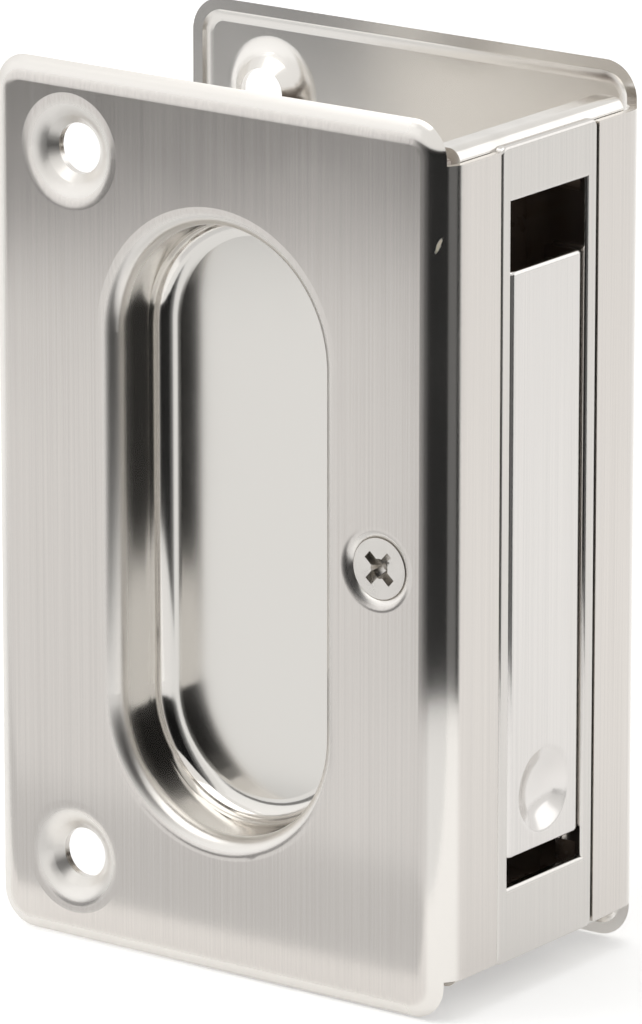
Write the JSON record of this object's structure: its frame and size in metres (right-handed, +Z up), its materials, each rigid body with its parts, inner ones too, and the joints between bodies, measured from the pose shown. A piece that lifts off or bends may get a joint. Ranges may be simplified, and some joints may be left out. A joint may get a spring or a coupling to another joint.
{
  "type": "pocket door pull",
  "caption": "Passage pull for a pocket door: two rolled-rim face plates with finger cups, joined by an edge bracket with a pivoting, spring-returned edge pull.",
  "frame": {"origin": "under the middle of the pull, level with the lower rims of the face plates, halfway through the door's thickness", "axes": "+X out of the door's edge, where the edge pull is; -Y out of the front face of the door; +Z up along the door's edge"},
  "size_m": [0.0604, 0.0372, 0.0985],
  "materials": {
    "trim_plate": "satin nickel plate with fine vertical grain, brighter in the cups and dishes",
    "bracket": "bright nickel plate",
    "edge_trim": "satin nickel plate with fine vertical grain",
    "pull_box": "dull dark coat",
    "pin": "plain turned steel",
    "spring": "drawn spring wire",
    "screw": "satin nickel plate with a darker recess"
  },
  "bodies": {
    "housing": {"front_trim_plate": "trim_plate", "rear_trim_plate": "trim_plate", "edge_bracket": "bracket", "edge_cover": "edge_trim", "pull_box": "pull_box", "pull_pivot_pin": "pin", "pull_return_spring": "spring", "front_plate_screw": "screw", "rear_plate_screw": "screw"},
    "lever": {"edge_pull": "edge_trim"}
  },
  "joints": [
    {"name": "edge_pull_pivot", "type": "hinge", "parent": "housing", "child": "lever", "pos_m": [0.02605, 0, 0.03355], "axis": [0, 1, 0], "range_deg": [0, 28], "stiffness_Nm_per_rad": 0.01, "springref_deg": -20.05, "deforming": ["pull_return_spring"]}
  ]
}
